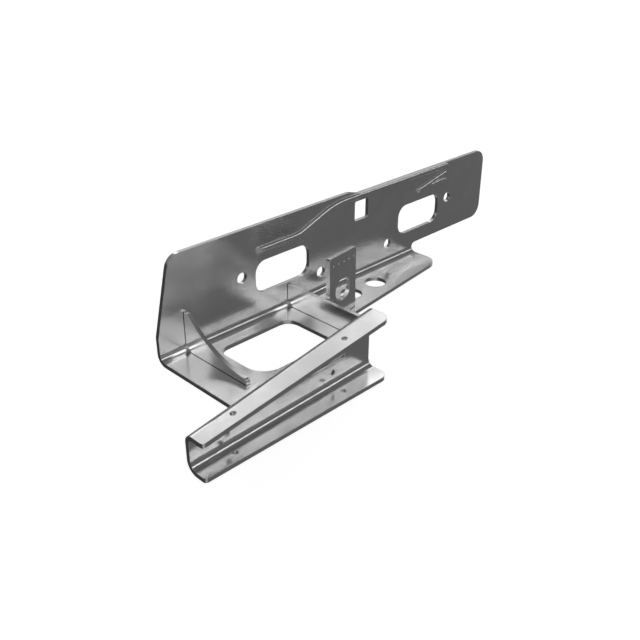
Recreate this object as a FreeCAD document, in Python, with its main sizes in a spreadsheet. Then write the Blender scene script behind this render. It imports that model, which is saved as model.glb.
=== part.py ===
"""Pressed and folded steel bracket: a wide bolted back plate with a folded base, a tapered
front channel, a cross rib, a corner gusset and an upright lug.

Millimetres. X runs along the back plate, Y points into the wall, Z points up.
The origin is the middle between the two outer bolt holes, on the rear (wall) face of the back
plate. Every body stands lower by the height of those holes, so its own sketches measure height
from the underside of the folded base.
"""
import FreeCAD, Part
import math
import os
import Sketcher

from FreeCAD import Placement, Rotation, Vector


# Every driving size, with the name it has in the sheet "Sizes".
SIZES = [
    ("sheet", 4.0, "thickness of the folded sheets"),
    ("fold_inside", 6.0, "inside radius of the fold between back plate and base"),
    # back plate
    ("outer_holes", 300.0, "spacing of the two outer bolt holes"),
    ("inner_holes", 100.0, "spacing of the two inner bolt holes"),
    ("outer_hole_height", 51.0, "height of the outer bolt holes"),
    ("inner_hole_height", 24.3, "height of the inner bolt holes"),
    ("bolt_hole", 11.0, "diameter of the bolt holes"),
    ("reach_left", 243.0, "left edge, from the middle of the bolt pattern"),
    ("reach_right", 215.0, "right edge, from the middle of the bolt pattern"),
    ("tall_left", 96.4, "height of the left part"),
    ("tall_right", 92.5, "height of the right part"),
    ("slant_from", 26.0, "height at which the left edge starts to lean in"),
    ("slant_lean", 17.3, "how far the left edge leans in by the height of the top edge"),
    ("top_left_round", 14.0, "radius of the top left corner"),
    ("right_round", 14.0, "radius of the two right corners"),
    ("step_from", -11.0, "position at which the top edge starts to step down"),
    ("step_to", 2.0, "position at which the top edge has stepped down"),
    ("step_round", 14.0, "radius of the step in the top edge"),
    ("wing_foot", 12.9, "height of the lower edge of the free right part"),
    ("relief_round", 5.0, "radius between that lower edge and the end of the fold"),
    # windows
    ("windows", 200.0, "spacing of the two large windows"),
    ("window_wide", 68.0, "width of a large window"),
    ("window_tall", 32.0, "height of a large window"),
    ("window_height", 44.5, "height of the middle of a large window"),
    ("window_round", 12.0, "corner radius of a large window"),
    ("port_offset", 7.5, "middle of the small window, from the middle of the bolt pattern"),
    ("port_height", 74.2, "height of the middle of the small window"),
    ("port_wide", 19.8, "width of the small window"),
    ("port_tall", 20.6, "height of the small window"),
    ("port_round", 2.0, "corner radius of the small window"),
    # pressed beads
    ("bead_half", 3.4, "half width of the long bead"),
    ("bead_high", 3.4, "height of the long bead"),
    ("bead_hip", 5.0, "length of the slope at the left end of the long bead"),
    ("bead_lip", 0.1, "height of the lip at the foot of that slope"),
    ("bead_root", 0.5, "depth to which a bead's section reaches into the sheet"),
    ("bead_start", 132.5, "left end of the long bead"),
    ("bead_bend", 87.0, "where the long bead starts to climb"),
    ("bead_low", 72.2, "height of the left part of the long bead"),
    ("bead_top", 89.9, "height of the right part of the long bead"),
    ("bead_end", 143.0, "right end of all beads"),
    ("bead_climb", 20.0, "steepest angle of the long bead, degrees"),
    ("bead_round_low", 40.0, "radius with which the bead starts to climb"),
    ("bead_round_high", 90.0, "radius with which the bead levels out"),
    ("fork_start", 97.0, "where the two short beads part"),
    ("fork_height", 71.9, "height at which the two short beads part"),
    ("fork_upper", 81.9, "height of the end of the upper short bead"),
    ("fork_lower", 73.8, "height of the end of the lower short bead"),
    ("fork_half", 2.6, "half width of the upper short bead"),
    ("fork_high", 2.6, "height of the upper short bead"),
    ("fork_lag", 1.5, "length along the upper bead before the lower one leaves it"),
    ("lower_half", 2.2, "half width of the lower short bead"),
    ("lower_high", 2.2, "height of the lower short bead"),
    ("groove_slimmer", 1.0, "how much slimmer each side of a rear groove is than its bead"),
    ("groove_shallower", 0.8, "how much shallower a rear groove is than its bead"),
    # base
    ("flange_reach", 91.0, "right edge of the base"),
    ("front_offset", 51.6, "front edge of the right base, at the middle of the bolt pattern"),
    ("front_slope", 0.122, "slope of that front edge in plan"),
    ("front_round", 16.0, "radius of the right front corner"),
    ("strip_past_rib", 1.5, "how far the base that runs on to the channel reaches past the rib"),
    ("opening_past_gusset", 18.5, "left edge of the opening, from the left face of the gusset"),
    ("opening_right", 112.0, "right edge of the opening in the base"),
    ("opening_back", 23.4, "back edge of the opening"),
    ("opening_front", 83.1, "front edge of the opening"),
    ("opening_round", 12.0, "radius of three corners of the opening"),
    ("opening_left_round", 20.0, "radius of the left front corner of the opening"),
    ("base_hole", 22.0, "diameter of the two holes in the base"),
    ("base_hole_row", 29.2, "distance of the two holes from the wall"),
    ("base_hole_right", 3.0, "position of the right hole"),
    ("base_hole_left", 33.2, "position of the left hole"),
    # tab of the base through the web of the channel
    ("tab_left", 163.0, "left end of the tab"),
    ("tab_right", 122.0, "right end of the tab"),
    ("tab_play", 0.4, "play at each end of the tab"),
    ("tab_slack", 0.2, "play above and below the tab"),
    ("tab_recess", 1.7, "how far the tab stays behind the front face of the web"),
    # channel
    ("web_offset", 100.2, "front face of the web, at the middle of the bolt pattern"),
    ("web_slope", 0.0336, "slope of the web in plan"),
    ("channel_past_plate", 51.0, "how far the channel reaches past the left edge of the back plate"),
    ("channel_past_rib", 2.7, "how far the channel reaches past the right face of the rib"),
    ("channel_front", 127.6, "front edges of the two flanges"),
    ("channel_floor", 22.4, "upper face of the lower flange, below the base"),
    ("roof_offset", 47.4, "upper face of the upper flange, at the middle of the bolt pattern"),
    ("roof_slope", 0.13, "rise of the upper flange along the channel"),
    ("roof_fold", 4.0, "inside radius of the upper fold"),
    ("floor_fold", 7.0, "inside radius of the lower fold"),
    ("right_corner", 9.0, "corner radius of both flanges at the right end"),
    ("left_corner", 3.0, "corner radius of both flanges at the left end"),
    ("trim_spare", 5.0, "spare length of the channel's blank before it is trimmed"),
    ("trim_margin", 20.0, "width beyond an outline that a trimming cut covers"),
    ("trim_clear", 1.0, "distance that a trimming cut keeps from the beads"),
    ("small_hole", 5.2, "diameter of the six small holes of the channel"),
    ("small_hole_inset", 36.8, "left set of small holes, from the left end of the channel"),
    ("small_hole_right", 136.4, "position of the right set of small holes"),
    ("small_hole_row", 117.7, "distance of the flange holes from the wall"),
    ("web_hole_low", 9.6, "depth of the web holes below the underside of the base"),
    # gusset and rib
    ("gusset_inset", 27.0, "left face of the corner gusset, from the left edge of the plate"),
    ("gusset_tall", 41.0, "height of the top of the gusset"),
    ("gusset_land", 5.0, "straight land at the top of the gusset"),
    ("gusset_front", 84.3, "front end of the gusset"),
    ("gusset_toe", 9.8, "height of the front end of the gusset"),
    ("gusset_toe_land", 5.0, "straight land at the front end of the gusset"),
    ("gusset_curve", 110.0, "radius of the hollow edge of the gusset"),
    ("gusset_round", 3.0, "radius of the front corner of the gusset"),
    ("rib_right", 91.3, "right face of the cross rib"),
    ("rib_tall", 26.4, "height of the top of the cross rib"),
    ("corner_relief", 8.0, "corner taken off the rib and the gusset to clear the fold"),
    # lug
    ("lug_thick", 4.5, "thickness of the lug"),
    ("lug_wide", 40.0, "width of the lug"),
    ("lug_tall", 62.5, "height of the lug above the base"),
    ("lug_right", 50.8, "right front corner of the lug"),
    ("lug_setback", 6.8, "distance of the lug behind the slanted front edge"),
    ("lug_round", 2.0, "radius of the top corners of the lug"),
    ("lug_hole", 23.0, "diameter of the hole in the lug"),
    ("lug_hole_height", 26.2, "height of that hole above the base"),
    ("mark_height", 54.0, "height of the row of punched dots"),
    ("mark_pitch", 7.8, "spacing of the punched dots"),
    ("mark_middle", 19.1, "middle dot, from the right edge of the lug"),
    ("mark_size", 1.7, "diameter of a punched dot"),
    ("mark_deep", 0.6, "depth of a punched dot"),
]

PLANE_ROLES = {"top": "XY_Plane", "front": "XZ_Plane", "side": "YZ_Plane"}
# A sketch's own numbers for its origin point and for its two axes.
ORIGIN = (-1, 1)
SKETCH_AXES = (-1, -2)


class Size:
    """A number together with the formula that gives it from the sheet of sizes."""

    def __init__(self, value, formula=None):
        self.value = float(value)
        self.formula = formula if formula is not None else repr(float(value))

    def _join(self, other, sign, value):
        return Size(value, "(%s %s %s)" % (self.formula, sign, other.formula))

    def __add__(self, other):
        other = as_size(other)
        return self._join(other, "+", self.value + other.value)

    def __sub__(self, other):
        other = as_size(other)
        return self._join(other, "-", self.value - other.value)

    def __mul__(self, other):
        other = as_size(other)
        return self._join(other, "*", self.value * other.value)

    def __truediv__(self, other):
        other = as_size(other)
        return self._join(other, "/", self.value / other.value)

    def __neg__(self):
        return Size(-self.value, "(-1 * %s)" % self.formula)


def as_size(number):
    """A plain number or a Size, as a Size."""
    return number if isinstance(number, Size) else Size(number)


class Sizes:
    """The sheet of driving sizes, read by name."""

    def __init__(self, doc):
        sheet = doc.addObject("Spreadsheet::Sheet", "Sizes")
        for row, (name, value, note) in enumerate(SIZES, start=1):
            sheet.set("A%d" % row, note)
            sheet.set("B%d" % row, str(value))
            sheet.setAlias("B%d" % row, name)
            setattr(self, name, Size(value, "Sizes.%s" % name))
        doc.recompute()


def new_body(doc, label):
    body = doc.addObject("PartDesign::Body", label)
    body.Label = label
    return body


def place_body(body, sizes, across=0.0, back=0.0, up=0.0, turn=0.0):
    """Set a body down at a position measured from the underside of the base, turned about Z."""
    across, back, up = as_size(across), as_size(back), as_size(up) - sizes.outer_hole_height
    body.Placement = Placement(Vector(across.value, back.value, up.value),
                               Rotation(Vector(0, 0, 1), turn))
    body.setExpression("Placement.Base.x", across.formula)
    body.setExpression("Placement.Base.y", back.formula)
    body.setExpression("Placement.Base.z", up.formula)


def new_sketch(body, name, plane, offset=0.0):
    """An empty sketch on one of the body's own planes, moved along the plane's normal."""
    sketch = body.newObject("Sketcher::SketchObject", name)
    role = PLANE_ROLES[plane]
    own_plane = [item for item in body.Origin.OriginFeatures if item.Role == role][0]
    sketch.AttachmentSupport = [(own_plane, "")]
    sketch.MapMode = "FlatFace"
    offset = as_size(offset)
    sketch.AttachmentOffset = Placement(Vector(0, 0, offset.value), Rotation())
    if offset.value:
        sketch.setExpression("AttachmentOffset.Base.z", offset.formula)
    return sketch


def hold(sketch, kind, refs, size):
    """A dimension whose value follows the sheet of sizes."""
    index = sketch.addConstraint(Sketcher.Constraint(kind, *refs, size.value))
    sketch.setExpression("Constraints[%d]" % index, size.formula)


def place_point(sketch, geometry, end, across, up):
    """Fix one point of a sketch at its two coordinates."""
    level_axis, upright_axis = SKETCH_AXES
    for kind, axis, size in (("DistanceX", upright_axis, across), ("DistanceY", level_axis, up)):
        if size.value:
            hold(sketch, kind, ORIGIN + (geometry, end), size)
        else:
            sketch.addConstraint(Sketcher.Constraint("PointOnObject", geometry, end, axis))


def draw_circle(sketch, across, up, diameter):
    across, up, diameter = as_size(across), as_size(up), as_size(diameter)
    centre = Vector(across.value, up.value, 0)
    circle = sketch.addGeometry(Part.Circle(centre, Vector(0, 0, 1), diameter.value / 2), False)
    place_point(sketch, circle, 3, across, up)
    hold(sketch, "Diameter", (circle,), diameter)


def rounded_corner(before, corner, after, radius):
    """Where a rounding of this radius starts and ends, and its middle point."""
    into = (corner - before).normalize()
    out_of = (after - corner).normalize()
    turn = into.getAngle(out_of)
    length = radius * math.tan(turn / 2)
    start = corner - into * length
    end = corner + out_of * length
    middle_way = (out_of - into).normalize()
    centre = corner + middle_way * (radius / math.cos(turn / 2))
    middle = centre - middle_way * radius
    return start, middle, end


def arc_with_ends(first, middle, last):
    """An anticlockwise arc, and which of its ends (1 or 2) is the first and the last point."""
    anticlockwise = (middle - first).cross(last - middle).z > 0
    if anticlockwise:
        return Part.Arc(first, middle, last), 1, 2
    return Part.Arc(last, middle, first), 2, 1


def draw_outline(sketch, corners):
    """A closed outline through corners (across, up) or (across, up, radius)."""
    points = [Vector(as_size(c[0]).value, as_size(c[1]).value, 0) for c in corners]
    count = len(points)
    starts = list(points)
    ends = list(points)
    arcs = {}
    for i, corner in enumerate(corners):
        if len(corner) == 3:
            before, after = points[i - 1], points[(i + 1) % count]
            first, middle, last = rounded_corner(before, points[i], after, corner[2].value)
            arcs[i] = arc_with_ends(first, middle, last)
            ends[i], starts[i] = first, last
    lines = []
    for i in range(count):
        segment = Part.LineSegment(starts[i], ends[(i + 1) % count])
        lines.append(sketch.addGeometry(segment, False))
    for i, corner in enumerate(corners):
        into, out_of = lines[i - 1], lines[i]
        across, up = as_size(corner[0]), as_size(corner[1])
        if i in arcs:
            join_with_arc(sketch, into, out_of, arcs[i], points[i], corner[2])
            held, end = sketch.GeometryCount - 1, 1
            place_point(sketch, held, end, across, up)
        else:
            sketch.addConstraint(Sketcher.Constraint("Coincident", into, 2, out_of, 1))
            place_point(sketch, out_of, 1, across, up)


def join_with_arc(sketch, into, out_of, arc_and_ends, corner, radius):
    """Round the corner between two lines; the sharp corner stays as a construction point."""
    shape, first, last = arc_and_ends
    arc = sketch.addGeometry(shape, False)
    sketch.addConstraint(Sketcher.Constraint("Tangent", into, 2, arc, first))
    sketch.addConstraint(Sketcher.Constraint("Tangent", out_of, 1, arc, last))
    hold(sketch, "Radius", (arc,), radius)
    mark = sketch.addGeometry(Part.Point(corner), True)
    sketch.addConstraint(Sketcher.Constraint("PointOnObject", mark, 1, into))
    sketch.addConstraint(Sketcher.Constraint("PointOnObject", mark, 1, out_of))


def draw_rounded_window(sketch, across, up, wide, tall, radius):
    left, right = across - wide / 2, across + wide / 2
    low, high = up - tall / 2, up + tall / 2
    draw_outline(sketch, [(left, low, radius), (right, low, radius),
                          (right, high, radius), (left, high, radius)])


def solid_feature(body, kind, name, sketch, length, both_ways=False, reverse=False):
    """A pad or a pocket of a sketch."""
    feature = body.newObject("PartDesign::%s" % kind, name)
    feature.Profile = sketch
    length = as_size(length)
    feature.Length = length.value
    feature.setExpression("Length", length.formula)
    feature.Midplane = both_ways
    feature.Reversed = reverse
    sketch.Visibility = False
    return feature


def pad(body, name, sketch, length, **how):
    return solid_feature(body, "Pad", name, sketch, length, **how)


def pocket(body, name, sketch, length, **how):
    return solid_feature(body, "Pocket", name, sketch, length, **how)


def front_at(sizes, across):
    """Y of the slanted front edge of the right base at a position along the plate."""
    return sizes.front_slope * across - sizes.front_offset


def web_front_at(sizes, across):
    """Y of the front face of the channel's web at a position along the plate."""
    return sizes.web_slope * across - sizes.web_offset


def web_back_at(sizes, across):
    return web_front_at(sizes, across) + sizes.sheet


def channel_left(sizes):
    return -(sizes.reach_left + sizes.channel_past_plate)


def channel_right(sizes):
    return sizes.channel_past_rib - sizes.rib_right


def gusset_left(sizes):
    return sizes.gusset_inset - sizes.reach_left


def small_holes(sizes):
    """Positions of the left and the right set of small holes."""
    return channel_left(sizes) + sizes.small_hole_inset, -sizes.small_hole_right


def long_bead_path(sizes):
    """Points of the long bead's crest: level, climbing in an S, level again."""
    climb = math.radians(sizes.bead_climb.value)
    low, top = sizes.bead_low.value, sizes.bead_top.value
    first, second = sizes.bead_round_low.value, sizes.bead_round_high.value
    start = Vector(-sizes.bead_start.value, low, 0)
    bend = Vector(-sizes.bead_bend.value, low, 0)
    rise = top - low - (first + second) * (1 - math.cos(climb))
    half = climb / 2
    arc_one = bend + Vector(first * math.sin(climb), first * (1 - math.cos(climb)), 0)
    middle_one = bend + Vector(first * math.sin(half), first * (1 - math.cos(half)), 0)
    straight = arc_one + Vector(rise / math.tan(climb), rise, 0)
    level = straight + Vector(second * math.sin(climb), second * (1 - math.cos(climb)), 0)
    middle_two = level - Vector(second * math.sin(half), second * (1 - math.cos(half)), 0)
    end = Vector(sizes.bead_end.value, top, 0)
    return [Part.LineSegment(start, bend), Part.Arc(bend, middle_one, arc_one),
            Part.LineSegment(arc_one, straight), Part.Arc(straight, middle_two, level),
            Part.LineSegment(level, end)]


def bead_section(body, name, across, up, half, high, face, root):
    """Half-lens section of a bead that bulges forward from a face of the plate."""
    sketch = new_sketch(body, name, "side", across)
    back = (face + root).value
    low = Vector(back, (up - half).value, 0)
    upper = Vector(back, (up + half).value, 0)
    crest = Vector((face - high).value, up.value, 0)
    shape, first, last = arc_with_ends(low, crest, upper)
    sketch.addGeometry(shape, False)
    sketch.addGeometry(Part.LineSegment(upper, low), False)
    sketch.addConstraint(Sketcher.Constraint("Coincident", 0, last, 1, 1))
    sketch.addConstraint(Sketcher.Constraint("Coincident", 0, first, 1, 2))
    return sketch


def sweep(body, kind, name, section, path):
    """A pipe along a path, added to or taken from the body."""
    pipe = body.newObject("PartDesign::%s" % kind, name)
    pipe.Profile = section
    pipe.Spine = path
    section.Visibility = False
    path.Visibility = False
    return pipe


def path_sketch(body, name, depth, pieces):
    sketch = new_sketch(body, name, "front", depth)
    for piece in pieces:
        sketch.addGeometry(piece, False)
    return sketch


def press_bead(body, sizes, name, pieces, half, high):
    """Raise a bead on the visible face and sink its mirror groove in the rear face."""
    start = pieces[0].StartPoint
    across, up = Size(start.x), Size(start.y)
    front, rear, root = -sizes.sheet, as_size(0.0), sizes.bead_root
    section = bead_section(body, name + "Section", across, up, half, high, front, root)
    sweep(body, "AdditivePipe", name, section, path_sketch(body, name + "Path", sizes.sheet, pieces))
    slimmer, shallower = half - sizes.groove_slimmer, high - sizes.groove_shallower
    section = bead_section(body, name + "RearSection", across, up, slimmer, shallower, rear, root)
    sweep(body, "SubtractivePipe", name + "Rear", section, path_sketch(body, name + "RearPath", 0.0, pieces))


def make_back_plate(doc, sizes):
    """Back plate and base, folded from one sheet."""
    body = new_body(doc, "back_plate")
    fold_section(body, sizes)
    press_beads(body, sizes)
    trim_upright(body, sizes)
    trim_base(body, sizes)
    cut_upright_openings(body, sizes)
    cut_base_openings(body, sizes)
    place_body(body, sizes)
    return body


def fold_section(body, sizes):
    """The L of the folded sheet, drawn from the side and padded over the full width."""
    sketch = new_sketch(body, "FoldSection", "side", -sizes.reach_left)
    outside = sizes.fold_inside + sizes.sheet
    reach = sizes.web_offset + sizes.web_slope * sizes.reach_left
    sheet = sizes.sheet
    draw_outline(sketch, [(0, sizes.tall_left), (0, 0, outside), (-reach, 0), (-reach, sheet),
                          (-sheet, sheet, sizes.fold_inside), (-sheet, sizes.tall_left)])
    pad(body, "FoldedSheet", sketch, sizes.reach_left + sizes.reach_right)


def press_beads(body, sizes):
    press_bead(body, sizes, "LongBead", long_bead_path(sizes), sizes.bead_half, sizes.bead_high)
    slope_bead_end(body, sizes)
    fork = Vector(sizes.fork_start.value, sizes.fork_height.value, 0)
    upper_end = Vector(sizes.bead_end.value, sizes.fork_upper.value, 0)
    lower_end = Vector(sizes.bead_end.value, sizes.fork_lower.value, 0)
    leaving = fork + (upper_end - fork).normalize() * sizes.fork_lag.value
    upper, lower = Part.LineSegment(fork, upper_end), Part.LineSegment(leaving, lower_end)
    press_bead(body, sizes, "UpperBead", [upper], sizes.fork_half, sizes.fork_high)
    press_bead(body, sizes, "LowerBead", [lower], sizes.lower_half, sizes.lower_high)


def slope_bead_end(body, sizes):
    """Let the long bead rise from the plate in a slope at its left end."""
    sketch = new_sketch(body, "BeadEnd", "top", sizes.bead_low - sizes.bead_half * 2)
    start, foot = -sizes.bead_start, -(sizes.sheet + sizes.bead_lip)
    crest = -(sizes.sheet + sizes.bead_high)
    slope = sizes.bead_hip / sizes.bead_high
    past = sizes.trim_clear
    draw_outline(sketch, [(start, foot), (start - past, foot), (start - past, crest - past),
                          (start + sizes.bead_hip + slope * past, crest - past)])
    pocket(body, "BeadEndSlope", sketch, sizes.bead_half * 4, reverse=True)


def trim_upright(body, sizes):
    """Cut away all that lies outside the outline of the upright, seen from the front."""
    sketch = new_sketch(body, "UprightOutline", "front")
    beyond = sizes.trim_margin
    left, right = -sizes.reach_left, sizes.reach_right
    draw_outline(sketch, [
        (left, -beyond),
        (sizes.flange_reach, -beyond),
        (sizes.flange_reach, sizes.wing_foot, sizes.relief_round),
        (right, sizes.wing_foot, sizes.right_round),
        (right, sizes.tall_right, sizes.right_round),
        (sizes.step_to, sizes.tall_right, sizes.step_round),
        (sizes.step_from, sizes.tall_left, sizes.step_round),
        (left + sizes.slant_lean, sizes.tall_left, sizes.top_left_round),
        (left, sizes.slant_from),
    ])
    draw_outline(sketch, [
        (left - beyond, -beyond * 2), (right + beyond, -beyond * 2),
        (right + beyond, sizes.tall_left + beyond), (left - beyond, sizes.tall_left + beyond),
    ])
    pocket(body, "UprightTrim", sketch, sizes.reach_left * 2, both_ways=True)


def trim_base(body, sizes):
    """Cut away all that lies in front of the base's edges, leaving the tab for the channel."""
    sketch = new_sketch(body, "BaseOutline", "top", -sizes.sheet)
    beyond = sizes.trim_margin
    clear = -(sizes.sheet + sizes.bead_high + sizes.trim_clear)
    left, tab_left, tab_right = -sizes.reach_left, -sizes.tab_left, -sizes.tab_right
    strip, right = sizes.strip_past_rib - sizes.rib_right, sizes.flange_reach
    far_front = web_front_at(sizes, left) - beyond
    draw_outline(sketch, [
        (left - beyond, clear),
        (left, clear),
        (left, web_back_at(sizes, left)),
        (tab_left, web_back_at(sizes, tab_left)),
        (tab_left, web_front_at(sizes, tab_left) + sizes.tab_recess),
        (tab_right, web_front_at(sizes, tab_right) + sizes.tab_recess),
        (tab_right, web_back_at(sizes, tab_right)),
        (strip, web_back_at(sizes, strip)),
        (strip, front_at(sizes, strip)),
        (right, front_at(sizes, right), sizes.front_round),
        (right, clear),
        (right + beyond, clear),
        (right + beyond, far_front),
        (left - beyond, far_front),
    ])
    pocket(body, "BaseTrim", sketch, sizes.sheet * 4, reverse=True)


def cut_upright_openings(body, sizes):
    sketch = new_sketch(body, "Windows", "front")
    for side in (-0.5, 0.5):
        draw_rounded_window(sketch, sizes.windows * side, sizes.window_height,
                            sizes.window_wide, sizes.window_tall, sizes.window_round)
    draw_rounded_window(sketch, sizes.port_offset, sizes.port_height,
                        sizes.port_wide, sizes.port_tall, sizes.port_round)
    pocket(body, "WindowCut", sketch, sizes.sheet * 4, both_ways=True)
    sketch = new_sketch(body, "BoltHoles", "front")
    for side in (-0.5, 0.5):
        draw_circle(sketch, sizes.outer_holes * side, sizes.outer_hole_height, sizes.bolt_hole)
        draw_circle(sketch, sizes.inner_holes * side, sizes.inner_hole_height, sizes.bolt_hole)
    pocket(body, "BoltHoleCut", sketch, sizes.sheet * 4, both_ways=True)


def cut_base_openings(body, sizes):
    sketch = new_sketch(body, "BaseOpening", "top")
    left, right = gusset_left(sizes) + sizes.opening_past_gusset, -sizes.opening_right
    back, front = -sizes.opening_back, -sizes.opening_front
    draw_outline(sketch, [
        (left, front, sizes.opening_left_round), (right, front, sizes.opening_round),
        (right, back, sizes.opening_round), (left, back, sizes.opening_round),
    ])
    for across in (sizes.base_hole_right, -sizes.base_hole_left):
        draw_circle(sketch, across, -sizes.base_hole_row, sizes.base_hole)
    pocket(body, "BaseOpeningCut", sketch, sizes.sheet * 4, both_ways=True)


def channel_section(body, sizes, name, across):
    """Section of the channel's blank near one end, open to the front."""
    sketch = new_sketch(body, name, "side", across)
    roof = sizes.roof_slope * across + sizes.roof_offset
    floor = -sizes.channel_floor
    front = -(sizes.channel_front + sizes.trim_spare)
    web, back = web_front_at(sizes, across), web_back_at(sizes, across)
    sheet = sizes.sheet
    draw_outline(sketch, [
        (front, roof),
        (front, roof - sheet),
        (web, roof - sheet, sizes.roof_fold),
        (web, floor, sizes.floor_fold),
        (front, floor),
        (front, floor - sheet),
        (back, floor - sheet, sizes.floor_fold + sheet),
        (back, roof, sizes.roof_fold + sheet),
    ])
    return sketch


def make_front_channel(doc, sizes):
    """Folded channel that grows taller and deeper from left to right."""
    body = new_body(doc, "front_channel")
    left = channel_left(sizes) - sizes.trim_spare
    right = channel_right(sizes) + sizes.trim_spare
    loft = body.newObject("PartDesign::AdditiveLoft", "TaperedChannel")
    loft.Profile = channel_section(body, sizes, "LeftSection", left)
    loft.Sections = [channel_section(body, sizes, "RightSection", right)]
    loft.Ruled = True
    trim_channel(body, sizes)
    cut_channel_holes(body, sizes)
    place_body(body, sizes)
    return body


def trim_channel(body, sizes):
    """Cut both flanges to their rounded outline, seen from above."""
    sketch = new_sketch(body, "ChannelOutline", "top")
    left, right = channel_left(sizes), channel_right(sizes)
    front, behind = -sizes.channel_front, -sizes.opening_front
    far = sizes.trim_spare * 3
    draw_outline(sketch, [
        (left, front, sizes.left_corner), (right, front, sizes.right_corner),
        (right, behind), (left, behind),
    ])
    draw_outline(sketch, [
        (left - far, front - far), (right + far, front - far),
        (right + far, behind + far), (left - far, behind + far),
    ])
    pocket(body, "ChannelTrim", sketch, sizes.reach_left, both_ways=True)


def cut_channel_holes(body, sizes):
    sketch = new_sketch(body, "FlangeHoles", "top")
    for across in small_holes(sizes):
        draw_circle(sketch, across, -sizes.small_hole_row, sizes.small_hole)
    pocket(body, "FlangeHoleCut", sketch, sizes.reach_left, both_ways=True)
    sketch = new_sketch(body, "WebHoles", "front", sizes.opening_front)
    for across in small_holes(sizes):
        draw_circle(sketch, across, -sizes.web_hole_low, sizes.small_hole)
    left = -(sizes.tab_left + sizes.tab_play)
    right = -(sizes.tab_right - sizes.tab_play)
    low, high = -sizes.tab_slack, sizes.sheet + sizes.tab_slack
    draw_outline(sketch, [(left, low), (right, low), (right, high), (left, high)])
    pocket(body, "WebHoleCut", sketch, sizes.opening_front, reverse=True)


def make_cross_rib(doc, sizes):
    """Flat rib from the back plate to the web of the channel."""
    body = new_body(doc, "cross_rib")
    right = -sizes.rib_right
    sketch = new_sketch(body, "RibOutline", "side", right)
    back, low = -sizes.sheet, sizes.sheet
    front = web_back_at(sizes, right)
    draw_outline(sketch, [
        (front, low), (back - sizes.corner_relief, low), (back, low + sizes.corner_relief),
        (back, sizes.rib_tall), (front, sizes.rib_tall),
    ])
    pad(body, "Rib", sketch, sizes.sheet, reverse=True)
    place_body(body, sizes)
    return body


def make_corner_gusset(doc, sizes):
    """Gusset with a hollow front edge, near the left end."""
    body = new_body(doc, "corner_gusset")
    sketch = new_sketch(body, "GussetOutline", "side", gusset_left(sizes))
    back, low = -sizes.sheet, sizes.sheet
    front, top, toe = -sizes.gusset_front, sizes.gusset_tall, sizes.gusset_toe
    draw_outline(sketch, [
        (front, low), (back - sizes.corner_relief, low), (back, low + sizes.corner_relief),
        (back, top), (back - sizes.gusset_land, top),
        (front + sizes.gusset_toe_land, toe), (front, toe, sizes.gusset_round),
    ])
    pad(body, "GussetBlank", sketch, sizes.sheet)
    hollow = new_sketch(body, "HollowEdge", "side", gusset_left(sizes))
    draw_hollow_edge(hollow, sizes)
    pocket(body, "HollowCut", hollow, sizes.sheet, reverse=True)
    place_body(body, sizes)
    return body


def draw_hollow_edge(sketch, sizes):
    """The lens between the straight slope of the gusset and its hollow edge."""
    top = Vector(-(sizes.sheet.value + sizes.gusset_land.value), sizes.gusset_tall.value, 0)
    toe = Vector(sizes.gusset_toe_land.value - sizes.gusset_front.value, sizes.gusset_toe.value, 0)
    chord = toe - top
    radius = sizes.gusset_curve.value
    depth = radius - math.sqrt(radius ** 2 - (chord.Length / 2) ** 2)
    downhill = Vector(-chord.y, chord.x, 0).normalize()
    if downhill.y > 0:
        downhill = -downhill
    middle = (top + toe) / 2 + downhill * depth
    sketch.addGeometry(Part.Arc(top, middle, toe), False)
    sketch.addGeometry(Part.LineSegment(top, toe), False)


def make_lug(doc, sizes):
    """Upright lug with a round hole and a row of punched dots, set parallel to the front edge."""
    body = new_body(doc, "upright_lug")
    sketch = new_sketch(body, "LugOutline", "front")
    wide, tall = -sizes.lug_wide, sizes.lug_tall
    draw_outline(sketch, [(wide, 0), (0, 0), (0, tall, sizes.lug_round), (wide, tall, sizes.lug_round)])
    draw_circle(sketch, wide / 2, sizes.lug_hole_height, sizes.lug_hole)
    pad(body, "Lug", sketch, sizes.lug_thick, reverse=True)
    dots = new_sketch(body, "Dots", "front")
    for step in (-2, -1, 0, 1, 2):
        draw_circle(dots, -sizes.mark_middle + sizes.mark_pitch * step, sizes.mark_height, sizes.mark_size)
    pocket(body, "PunchedDots", dots, sizes.mark_deep)
    across = -sizes.lug_right
    back = front_at(sizes, across) + sizes.lug_setback
    turn = math.degrees(math.atan(sizes.front_slope.value))
    place_body(body, sizes, across, back, sizes.sheet, turn)
    return body


def check(doc, bodies):
    """Stop when a feature failed or a body has no sound solid."""
    for item in doc.Objects:
        if "Invalid" in item.State or "Error" in item.State:
            raise RuntimeError("%s did not build: %s" % (item.Name, item.State))
    for body in bodies:
        if body.Shape.isNull() or not body.Shape.isValid() or len(body.Shape.Solids) != 1:
            raise RuntimeError("%s is not one sound solid" % body.Label)


def main():
    doc = FreeCAD.newDocument("bracket")
    sizes = Sizes(doc)
    bodies = [
        make_back_plate(doc, sizes),
        make_front_channel(doc, sizes),
        make_cross_rib(doc, sizes),
        make_corner_gusset(doc, sizes),
        make_lug(doc, sizes),
    ]
    doc.recompute()
    check(doc, bodies)
    os.makedirs("parts", exist_ok=True)
    for body in bodies:
        body.Shape.exportStep("parts/%s.step" % body.Label)
        box = body.Shape.optimalBoundingBox()
        print("%s volume %.0f mm3, box %.1f %.1f %.1f to %.1f %.1f %.1f"
              % (body.Label, body.Shape.Volume, box.XMin, box.YMin, box.ZMin,
                 box.XMax, box.YMax, box.ZMax))


main()
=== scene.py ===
"""Looks of the folded sheet-steel bracket: its finishes, the studio and the camera.

Metres, in the frame of the part: X along the back plate, Y into the wall, Z up, with the origin
between the two outer bolt holes on the wall face.
"""
import logging
import math
from dataclasses import dataclass, field
from enum import Enum
from typing import Optional, Sequence, Union

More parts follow.
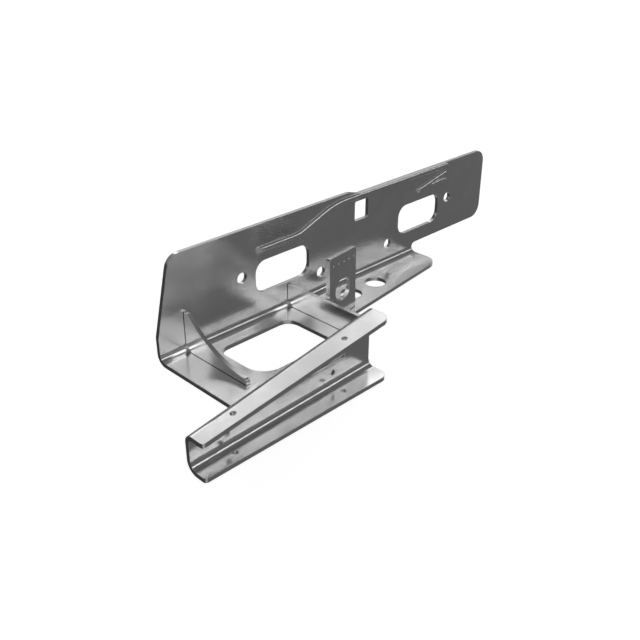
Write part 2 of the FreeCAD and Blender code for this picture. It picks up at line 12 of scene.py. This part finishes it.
import bpy
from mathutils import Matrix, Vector


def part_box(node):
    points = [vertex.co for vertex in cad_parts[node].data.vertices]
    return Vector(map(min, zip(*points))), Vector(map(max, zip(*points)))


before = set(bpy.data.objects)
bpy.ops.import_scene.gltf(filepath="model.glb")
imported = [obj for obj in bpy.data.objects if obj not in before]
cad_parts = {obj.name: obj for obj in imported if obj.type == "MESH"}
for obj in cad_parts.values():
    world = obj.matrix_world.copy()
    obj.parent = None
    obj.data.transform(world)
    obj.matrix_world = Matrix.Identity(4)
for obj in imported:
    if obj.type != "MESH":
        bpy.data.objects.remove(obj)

LOG = logging.getLogger("bracket")
MM_PER_METRE = 1000.0
# Cosines between which a face comes to count as facing a direction, and as turned away from it.
FACING = (0.75, 0.85)
TURNED_AWAY = (0.4, 0.3)
# Ranges within which smooth noise mostly stays: a wide one, and a narrow one for more contrast.
NOISE_WIDE = (0.3, 0.7)
NOISE_NARROW = (0.35, 0.65)
# Sockets of a colour mix: its share, its two colours and its result.
MIX_SHARE, MIX_FIRST, MIX_SECOND, MIX_RESULT = 0, 6, 7, 2

Colour = tuple[float, float, float]
Triple = tuple[float, float, float]
Socket = bpy.types.NodeSocket
Feed = Union[Socket, float, Triple, tuple[float, float, float, float]]


class Grain(Enum):
    """Rolling direction of a sheet, as how fast its grain changes along X, Y and Z."""

    ALONG_X = (0.025, 1.0, 1.0)
    ALONG_Y = (1.0, 0.025, 1.0)
    ALONG_Z = (1.0, 1.0, 0.025)


class Graph:
    """A shader's nodes, added and linked by short calls."""

    def __init__(self, tree: bpy.types.NodeTree) -> None:
        """Start from an empty tree.

        Args:
            tree: Node tree of a material or of the world.
        """
        self.tree = tree
        tree.nodes.clear()

    def add(self, kind: str, **settings: object) -> bpy.types.Node:
        """Add a node.

        Args:
            kind: Type name of the node.
            settings: Properties to set on it.

        Returns:
            The new node.
        """
        node = self.tree.nodes.new(kind)
        for name, value in settings.items():
            setattr(node, name, value)
        return node

    def feed(self, socket: Socket, value: Feed) -> None:
        """Link a socket to another one, or set its constant.

        Args:
            socket: Input to feed.
            value: Output socket or constant.
        """
        if isinstance(value, Socket):
            self.tree.links.new(value, socket)
        else:
            socket.default_value = value

    def math(self, operation: str, first: Feed, second: Feed = 0.0) -> Socket:
        """Combine one or two numbers.

        Args:
            operation: Name of the operation.
            first: First number.
            second: Second number.

        Returns:
            Output socket.
        """
        node = self.add("ShaderNodeMath", operation=operation)
        self.feed(node.inputs[0], first)
        self.feed(node.inputs[1], second)
        return node.outputs[0]

    def vector(self, operation: str, first: Feed, second: Feed) -> Socket:
        """Combine two vectors.

        Args:
            operation: Name of the operation.
            first: First vector.
            second: Second vector.

        Returns:
            The vector, or the number for a dot product.
        """
        node = self.add("ShaderNodeVectorMath", operation=operation)
        self.feed(node.inputs[0], first)
        self.feed(node.inputs[1], second)
        return node.outputs["Value" if operation == "DOT_PRODUCT" else "Vector"]

    def parts(self, vector: Socket) -> tuple[Socket, Socket, Socket]:
        """Split a vector into its three numbers."""
        node = self.add("ShaderNodeSeparateXYZ")
        self.feed(node.inputs[0], vector)
        return node.outputs[0], node.outputs[1], node.outputs[2]

    def fade(self, value: Feed, low: float, high: float,
             to_low: float = 0.0, to_high: float = 1.0) -> Socket:
        """Pass smoothly from one number to another while a value crosses a range.

        Args:
            value: Value that crosses the range.
            low: Start of the range.
            high: End of the range.
            to_low: Result at the start.
            to_high: Result at the end.

        Returns:
            Output socket.
        """
        node = self.add("ShaderNodeMapRange", interpolation_type="SMOOTHSTEP")
        for index, number in enumerate((value, low, high, to_low, to_high)):
            self.feed(node.inputs[index], number)
        return node.outputs[0]

    def noise(self, where: Socket, scale: float, detail: float, rough: float = 0.5) -> Socket:
        """Sample smooth noise.

        Args:
            where: Position.
            scale: Waves per metre.
            detail: Number of finer layers.
            rough: Strength of the finer layers.

        Returns:
            Noise between 0 and 1.
        """
        node = self.add("ShaderNodeTexNoise")
        self.feed(node.inputs["Vector"], where)
        node.inputs["Scale"].default_value = scale
        node.inputs["Detail"].default_value = detail
        node.inputs["Roughness"].default_value = rough
        return node.outputs[0]

    def mix(self, share: Feed, first: Feed, second: Feed) -> Socket:
        """Blend two colours.

        Args:
            share: Share of the second colour.
            first: First colour.
            second: Second colour.

        Returns:
            Output socket.
        """
        node = self.add("ShaderNodeMix", data_type="RGBA")
        self.feed(node.inputs[MIX_SHARE], share)
        self.feed(node.inputs[MIX_FIRST], first)
        self.feed(node.inputs[MIX_SECOND], second)
        return node.outputs[MIX_RESULT]

    def blend(self, share: Socket, first: Socket, second: Socket) -> Socket:
        """Blend two numbers.

        Args:
            share: Share of the second number.
            first: First number.
            second: Second number.

        Returns:
            Output socket.
        """
        rest = self.math("MULTIPLY", first, self.math("SUBTRACT", 1.0, share))
        return self.math("ADD", rest, self.math("MULTIPLY", second, share))


@dataclass(frozen=True)
class EdgeRule:
    """Tells cut edges from rolled faces by where a face looks, inside a region.

    Attributes:
        look: Direction against which the face is measured.
        facing: Whether a cut edge faces along that direction, or away from it.
        zone: Axis (0, 1 or 2), limit and sign of the region, or None for everywhere.
    """

    look: Triple
    facing: bool
    zone: Optional[tuple[int, float, int]] = None

    def mask(self, graph: Graph, normal: Socket, place: Socket) -> Socket:
        """Build the rule's mask.

        Args:
            graph: Nodes of the material.
            normal: True normal of the face.
            place: Position in the frame of the part.

        Returns:
            1 on cut edges and 0 elsewhere.
        """
        dot = graph.math("ABSOLUTE", graph.vector("DOT_PRODUCT", normal, self.look))
        share = graph.fade(dot, *(FACING if self.facing else TURNED_AWAY))
        if self.zone is None:
            return share
        axis, limit, sign = self.zone
        signed = graph.math("MULTIPLY", graph.parts(place)[axis], sign)
        inside = graph.math("GREATER_THAN", signed, limit * sign)
        return graph.math("MULTIPLY", share, inside)


@dataclass(frozen=True)
class SheetFinish:
    """Zinc-plated sheet steel with a faint rolled grain, cut edges and painted shade along the
    joints between pieces.

    Attributes:
        name: Name of the material.
        grain: Rolling direction.
        rules: Where the cut edges are.
        bright: Colour of the clean plating.
        dull: Colour of its duller clouds.
        edge: Colour of the cut edges.
        painted_seam_shade: Colour of the painted shade in the seams between pieces.
        gloss: Roughness of the rolled faces.
        edge_gloss: Roughness of the cut edges.
        rounding: Radius to which sharp edges are eased, in metres.
        painted_shade_reach: Reach of the painted shade along a joint, in metres.
        painted_shade_fade: Shares of open surroundings between which that painted shade fades out.
        gloss_play: How far the grain and the clouds each shift the roughness.
        speckle_share: Share of the fine specks in the mottle.
        grain_scale: Waves of the grain per metre, across the rolling direction.
        cloud_scale: Waves of the clouds per metre.
        speckle_scale: Waves of the specks per metre.
        shear_scale: Waves of the marks on sheared edges per metre.
        shear_gain: How much stronger than the grain those marks are.
        relief: Height of the grain, in metres.
        relief_share: Strength of the grain's shading.
    """

    name: str
    grain: Grain
    rules: tuple[EdgeRule, ...]
    bright: Colour = (0.84, 0.84, 0.84)
    dull: Colour = (0.76, 0.76, 0.76)
    edge: Colour = (0.80, 0.80, 0.80)
    painted_seam_shade: Colour = (0.06, 0.06, 0.06)
    gloss: float = 0.21
    edge_gloss: float = 0.23
    rounding: float = 0.0005
    painted_shade_reach: float = 0.0013
    painted_shade_fade: tuple[float, float] = (0.5, 0.85)
    gloss_play: float = 0.02
    speckle_share: float = 0.25
    grain_scale: float = 1400.0
    cloud_scale: float = 38.0
    speckle_scale: float = 900.0
    shear_scale: float = 2600.0
    shear_gain: float = 3.0
    relief: float = 0.00002
    relief_share: float = 0.05

    def material(self) -> bpy.types.Material:
        """Build the material.

        Returns:
            The new material.
        """
        material = bpy.data.materials.new(self.name)
        material.use_nodes = True
        graph = Graph(material.node_tree)
        place = graph.add("ShaderNodeTexCoord").outputs["Object"]
        true_normal = graph.add("ShaderNodeNewGeometry").outputs["True Normal"]
        cut = self._cut_edges(graph, true_normal, place)
        rolled = graph.vector("MULTIPLY", place, self.grain.value)
        grain = graph.noise(rolled, self.grain_scale, detail=3.0, rough=0.6)
        clouds = graph.noise(place, self.cloud_scale, detail=3.0, rough=0.55)
        speckle = graph.noise(place, self.speckle_scale, detail=2.0)
        shear = graph.noise(place, self.shear_scale, detail=1.0)
        shader = graph.add("ShaderNodeBsdfPrincipled")
        shader.inputs["Metallic"].default_value = 1.0
        graph.feed(shader.inputs["Base Color"], self._colour(graph, clouds, speckle, cut))
        graph.feed(shader.inputs["Roughness"], self._roughness(graph, grain, clouds, cut))
        graph.feed(shader.inputs["Normal"], self._relief(graph, grain, shear, cut))
        output = graph.add("ShaderNodeOutputMaterial")
        graph.feed(output.inputs["Surface"], shader.outputs[0])
        return material

    def _cut_edges(self, graph: Graph, normal: Socket, place: Socket) -> Socket:
        """Join the masks of all rules."""
        mask = self.rules[0].mask(graph, normal, place)
        for rule in self.rules[1:]:
            mask = graph.math("MAXIMUM", mask, rule.mask(graph, normal, place))
        return mask

    def _colour(self, graph: Graph, clouds: Socket, speckle: Socket, cut: Socket) -> Socket:
        """Blend plating, clouds, cut edges and the painted shade of the seams."""
        mottle = graph.math("ADD",
                            graph.fade(clouds, *NOISE_NARROW, to_high=1.0 - self.speckle_share),
                            graph.fade(speckle, *NOISE_WIDE, to_high=self.speckle_share))
        plate = graph.mix(mottle, (*self.dull, 1.0), (*self.bright, 1.0))
        plate = graph.mix(cut, plate, (*self.edge, 1.0))
        # painted shade: the dark seam colour is laid in wherever another piece stands close and
        # would shade the joint
        return graph.mix(self._unshaded_by_others(graph), (*self.painted_seam_shade, 1.0), plate)

    def _unshaded_by_others(self, graph: Graph) -> Socket:
        """Tell where another piece stands close, for the painted shade along the joints, from this
        piece's own hollows.
        """
        least_share = 0.1  # keeps the division small
        shares = []
        for own_only in (False, True):
            # ambient occlusion, which drives the painted shade in the joints
            corner = graph.add("ShaderNodeAmbientOcclusion", samples=8, only_local=own_only)
            corner.inputs["Distance"].default_value = self.painted_shade_reach
            shares.append(corner.outputs["AO"])
        own = graph.math("MAXIMUM", shares[1], least_share)
        return graph.fade(graph.math("DIVIDE", shares[0], own), *self.painted_shade_fade)

    def _roughness(self, graph: Graph, grain: Socket, clouds: Socket, cut: Socket) -> Socket:
        """Vary the roughness with the grain and the clouds, and roughen the cut edges."""
        play = self.gloss_play
        rolled = graph.math("ADD", graph.fade(grain, *NOISE_WIDE, -play, play),
                            graph.fade(clouds, *NOISE_WIDE, self.gloss + play, self.gloss - play))
        wider = graph.math("MULTIPLY", cut, self.edge_gloss - self.gloss)
        return graph.math("ADD", rolled, wider)

    def _relief(self, graph: Graph, grain: Socket, shear: Socket, cut: Socket) -> Socket:
        """Ease the sharp edges, then add the rolled grain and the marks of shearing."""
        eased = graph.add("ShaderNodeBevel", samples=4)
        eased.inputs["Radius"].default_value = self.rounding
        marks = graph.math("MULTIPLY", graph.math("MULTIPLY", shear, cut), self.shear_gain)
        height = graph.math("ADD", grain, marks)
        bump = graph.add("ShaderNodeBump")
        bump.inputs["Strength"].default_value = self.relief_share
        bump.inputs["Distance"].default_value = self.relief
        graph.feed(bump.inputs["Height"], height)
        graph.feed(bump.inputs["Normal"], eased.outputs[0])
        return bump.outputs[0]


@dataclass
class SheetPiece:
    """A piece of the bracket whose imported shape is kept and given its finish.

    Attributes:
        node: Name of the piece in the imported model.
        grain: Rolling direction of its sheet.
    """

    node: str
    grain: Grain

    def edge_rules(self) -> tuple[EdgeRule, ...]:
        """Say where this piece's cut edges are."""
        raise NotImplementedError

    def finish(self) -> SheetFinish:
        """Choose the piece's finish."""
        return SheetFinish(name=self.node + "_steel", grain=self.grain, rules=self.edge_rules())

    def dress(self) -> None:
        """Give the piece its material in every slot."""
        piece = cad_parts[self.node]
        material = self.finish().material()
        piece.data.materials.clear()
        piece.data.materials.append(material)
        low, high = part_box(self.node)
        LOG.info("%s: %.1f x %.1f x %.1f mm, %s", self.node,
                 *[(high[axis] - low[axis]) * MM_PER_METRE for axis in range(3)], material.name)


@dataclass
class BackPlate(SheetPiece):
    """Upright and base, folded from one sheet.

    Attributes:
        fold_top: Height at which the fold ends and the upright is flat.
        fold_front: Depth at which the fold ends and the base is flat.
    """

    node: str = "back_plate"
    grain: Grain = Grain.ALONG_X
    fold_top: float = -0.0405
    fold_front: float = -0.0105

    def edge_rules(self) -> tuple[EdgeRule, ...]:
        """Say where this piece's cut edges are."""
        return (EdgeRule((1.0, 0.0, 0.0), True),
                EdgeRule((0.0, 1.0, 0.0), False, (2, self.fold_top, 1)),
                EdgeRule((0.0, 0.0, 1.0), False, (1, self.fold_front, -1)))


@dataclass
class FrontChannel(SheetPiece):
    """Tapered channel in front of the base.

    Attributes:
        flange_back: Depth in front of which only the two flanges are left.
    """

    node: str = "front_channel"
    grain: Grain = Grain.ALONG_X
    flange_back: float = -0.1175

    def edge_rules(self) -> tuple[EdgeRule, ...]:
        """Say where this piece's cut edges are."""
        return (EdgeRule((1.0, 0.0, 0.0), True),
                EdgeRule((0.0, 0.0, 1.0), False, (1, self.flange_back, -1)))


@dataclass
class CrossRib(SheetPiece):
    """Flat rib between back plate and channel."""

    node: str = "cross_rib"
    grain: Grain = Grain.ALONG_Y

    def edge_rules(self) -> tuple[EdgeRule, ...]:
        """Say where this piece's cut edges are."""
        return (EdgeRule((1.0, 0.0, 0.0), False),)


@dataclass
class CornerGusset(SheetPiece):
    """Gusset with a hollow front edge."""

    node: str = "corner_gusset"
    grain: Grain = Grain.ALONG_Y

    def edge_rules(self) -> tuple[EdgeRule, ...]:
        """Say where this piece's cut edges are."""
        return (EdgeRule((1.0, 0.0, 0.0), False),)


@dataclass
class UprightLug(SheetPiece):
    """Upright lug with a round hole and a row of punched dots.

    Attributes:
        facing: Direction in which its flat faces look.
    """

    node: str = "upright_lug"
    grain: Grain = Grain.ALONG_Z
    facing: Triple = (-0.1211, 0.9926, 0.0)

    def edge_rules(self) -> tuple[EdgeRule, ...]:
        """Say where this piece's cut edges are."""
        return (EdgeRule(self.facing, False),)


@dataclass
class Bracket:
    """The whole bracket.

    Attributes:
        pieces: All its pieces.
    """

    pieces: list[SheetPiece] = field(default_factory=lambda: [
        BackPlate(), FrontChannel(), CrossRib(), CornerGusset(), UprightLug()])

    def build(self) -> None:
        """Dress every piece."""
        for piece in self.pieces:
            piece.dress()


@dataclass(frozen=True)
class Softbox:
    """A round soft light in the studio's surroundings.

    Attributes:
        azimuth: Direction in plan, in degrees from +X towards +Y.
        elevation: Height above the horizon, in degrees.
        spread: Half width, in degrees.
        gain: Brightness added in its middle.
    """

    azimuth: float
    elevation: float
    spread: float
    gain: float

    def glow(self, graph: Graph, look: Socket) -> Socket:
        """Build the light that this softbox adds.

        Args:
            graph: Nodes of the world.
            look: Direction that is looked in.

        Returns:
            Brightness, which fades to 0 at the rim.
        """
        turn, rise = math.radians(self.azimuth), math.radians(self.elevation)
        middle = (math.cos(turn) * math.cos(rise), math.sin(turn) * math.cos(rise), math.sin(rise))
        towards = graph.vector("DOT_PRODUCT", look, middle)
        return graph.fade(towards, math.cos(math.radians(self.spread)), 1.0, to_high=self.gain)


@dataclass(frozen=True)
class Strip:
    """A soft strip of light that runs beside the whole length of the part.

    Attributes:
        angle: Where it hangs, in degrees from the front horizon upwards.
        spread: Half its width, in degrees.
        gain: Brightness added in its middle.
    """

    angle: float
    spread: float
    gain: float

    def glow(self, graph: Graph, angle: Socket) -> Socket:
        """Build the light that this strip adds.

        Args:
            graph: Nodes of the world.
            angle: Angle round the part, from -180 to 180 degrees.

        Returns:
            Brightness, which fades to 0 at both sides.
        """
        off = graph.math("ABSOLUTE", graph.math("SUBTRACT", angle, self.angle))
        return graph.fade(off, self.spread, 0.0, to_high=self.gain)


@dataclass(frozen=True)
class Backcloth:
    """An even cloth on one hand of the part, lit by a few strips.

    Attributes:
        tone: Brightness between the strips.
        strips: Strips on it.
    """

    tone: float
    strips: tuple[Strip, ...]

    def shade(self, graph: Graph, angle: Socket) -> Socket:
        """Turn the angle round the part into a brightness.

        Args:
            graph: Nodes of the world.
            angle: Angle round the part, from -180 to 180 degrees.

        Returns:
            Brightness.
        """
        light = graph.math("ADD", self.strips[0].glow(graph, angle), self.tone)
        for strip in self.strips[1:]:
            light = graph.math("ADD", light, strip.glow(graph, angle))
        return light


@dataclass(frozen=True)
class Studio:
    """Surroundings that the steel reflects: a cloth on either hand, and softboxes.

    Attributes:
        right: Cloth on the side of +X, with a slim bright strip that draws the folds' white line.
        left: Cloth on the side of -X, with a broad strip overhead.
        right_end: Brightness straight to the right.
        left_end: Brightness straight to the left.
        boxes: Softboxes.
        backdrop: Brightness that the camera sees.
        blend_half: Sideways part of a direction, up to 1, at which one cloth has become the other.
        end_fade: Sideways parts between which a cloth fades into an end's brightness.
        end_half: Sideways part at which one end's brightness has become the other's.
    """

    right: Backcloth = Backcloth(0.15, (
        Strip(41.0, 4.5, 4.0), Strip(125.0, 20.0, 0.6),
        Strip(156.0, 15.0, 0.7), Strip(-115.0, 30.0, 0.4)))
    left: Backcloth = Backcloth(0.06, (
        Strip(56.0, 32.0, 2.4), Strip(5.0, 12.0, 0.6),
        Strip(-40.0, 30.0, 0.5), Strip(146.0, 20.0, 0.2)))
    right_end: float = 0.6
    left_end: float = 0.1
    boxes: tuple[Softbox, ...] = (
        Softbox(38.0, 35.0, 8.0, 1.7), Softbox(46.0, 37.0, 8.0, 0.9),
        Softbox(64.0, 35.0, 10.0, 2.2), Softbox(138.0, 24.0, 9.0, 0.4),
        Softbox(-132.0, 31.0, 12.0, 1.0))
    backdrop: float = 1.25
    blend_half: float = 0.15
    end_fade: tuple[float, float] = (0.82, 0.95)
    end_half: float = 0.5

    def build(self) -> None:
        """Make the world, which is seen without a film's curve."""
        world = bpy.data.worlds.new("studio")
        scene = bpy.context.scene
        scene.world = world
        scene.view_settings.view_transform = "Standard"
        world.use_nodes = True
        graph = Graph(world.node_tree)
        look = graph.add("ShaderNodeTexCoord").outputs["Generated"]
        surroundings = graph.add("ShaderNodeBackground")
        graph.feed(surroundings.inputs["Strength"], self._surroundings(graph, look))
        backdrop = graph.add("ShaderNodeBackground")
        backdrop.inputs["Strength"].default_value = self.backdrop
        chosen = graph.add("ShaderNodeMixShader")
        graph.feed(chosen.inputs[0], graph.add("ShaderNodeLightPath").outputs["Is Camera Ray"])
        graph.feed(chosen.inputs[1], surroundings.outputs[0])
        graph.feed(chosen.inputs[2], backdrop.outputs[0])
        output = graph.add("ShaderNodeOutputWorld")
        graph.feed(output.inputs["Surface"], chosen.outputs[0])
        LOG.info("studio with %d strips and %d softboxes",
                 len(self.right.strips) + len(self.left.strips), len(self.boxes))

    def _surroundings(self, graph: Graph, look: Socket) -> Socket:
        """Add up the cloths, the ends and the softboxes.

        Args:
            graph: Nodes of the world.
            look: Direction that is looked in.

        Returns:
            Brightness.
        """
        rightward, back, up = graph.parts(look)
        turn = graph.math("ARCTAN2", up, graph.math("MULTIPLY", back, -1.0))
        angle = graph.math("MULTIPLY", turn, math.degrees(1.0))
        to_right = graph.fade(rightward, -self.blend_half, self.blend_half)
        aside = graph.fade(graph.math("ABSOLUTE", rightward), *self.end_fade)
        cloth = graph.blend(to_right,
                            self.left.shade(graph, angle), self.right.shade(graph, angle))
        ends = graph.fade(rightward, -self.end_half, self.end_half, self.left_end, self.right_end)
        light = graph.blend(aside, cloth, ends)
        for box in self.boxes:
            light = graph.math("ADD", light, box.glow(graph, look))
        return light


@dataclass(frozen=True)
class Floor:
    """Plain pale floor under the bracket.

    Attributes:
        height: Height of the floor.
        half: Half its width.
        colour: Colour of its paint.
        glow: Own brightness, for an even pale ground.
        dullness: Roughness of its paint.
    """

    height: float = -0.32
    half: float = 12.0
    colour: Colour = (0.85, 0.85, 0.85)
    glow: float = 0.68
    dullness: float = 0.9

    def build(self) -> None:
        """Make the floor and hide it from glossy rays."""
        mesh = bpy.data.meshes.new("floor")
        corners = [(x, y, self.height) for x, y in
                   ((-self.half, -self.half), (self.half, -self.half),
                    (self.half, self.half), (-self.half, self.half))]
        mesh.from_pydata(corners, [], [(0, 1, 2, 3)])
        floor = bpy.data.objects.new("floor", mesh)
        bpy.context.scene.collection.objects.link(floor)
        mesh.materials.append(self._paint())
        floor.visible_glossy = False
        LOG.info("floor at %.0f mm", self.height * MM_PER_METRE)

    def _paint(self) -> bpy.types.Material:
        """Build the floor's material."""
        material = bpy.data.materials.new("floor_paint")
        material.use_nodes = True
        graph = Graph(material.node_tree)
        shader = graph.add("ShaderNodeBsdfPrincipled")
        shader.inputs["Base Color"].default_value = (*self.colour, 1.0)
        shader.inputs["Roughness"].default_value = self.dullness
        shader.inputs["Emission Color"].default_value = (1.0, 1.0, 1.0, 1.0)
        shader.inputs["Emission Strength"].default_value = self.glow
        output = graph.add("ShaderNodeOutputMaterial")
        graph.feed(output.inputs["Surface"], shader.outputs[0])
        return material


@dataclass(frozen=True)
class PhotoCamera:
    """Camera at the photograph's viewing angle.

    Attributes:
        place: Position.
        heading: Turn about Z, in degrees.
        pitch: Angle from straight down, in degrees.
        lens: Focal length, in millimetres.
        film_width: Width of the frame, in millimetres.
        near: Distance from which it sees, in metres.
    """

    place: Triple = (-0.56713, -0.51969, 0.31505)
    heading: float = -45.0
    pitch: float = 61.55
    lens: float = 45.9
    film_width: float = 36.0
    near: float = 0.01

    def build(self) -> None:
        """Make the camera and use it."""
        data = bpy.data.cameras.new("photo_camera")
        data.lens = self.lens
        data.sensor_width = self.film_width
        data.clip_start = self.near
        camera = bpy.data.objects.new("photo_camera", data)
        camera.location = self.place
        camera.rotation_euler = (math.radians(self.pitch), 0.0, math.radians(self.heading))
        bpy.context.scene.collection.objects.link(camera)
        bpy.context.scene.camera = camera
        LOG.info("camera set")


def main() -> None:
    """Dress the bracket, then set up studio, floor and camera."""
    logging.basicConfig(level=logging.INFO, format="%(name)s: %(message)s")
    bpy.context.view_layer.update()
    Bracket().build()
    Studio().build()
    Floor().build()
    PhotoCamera().build()


if __name__ == "__main__":
    main()
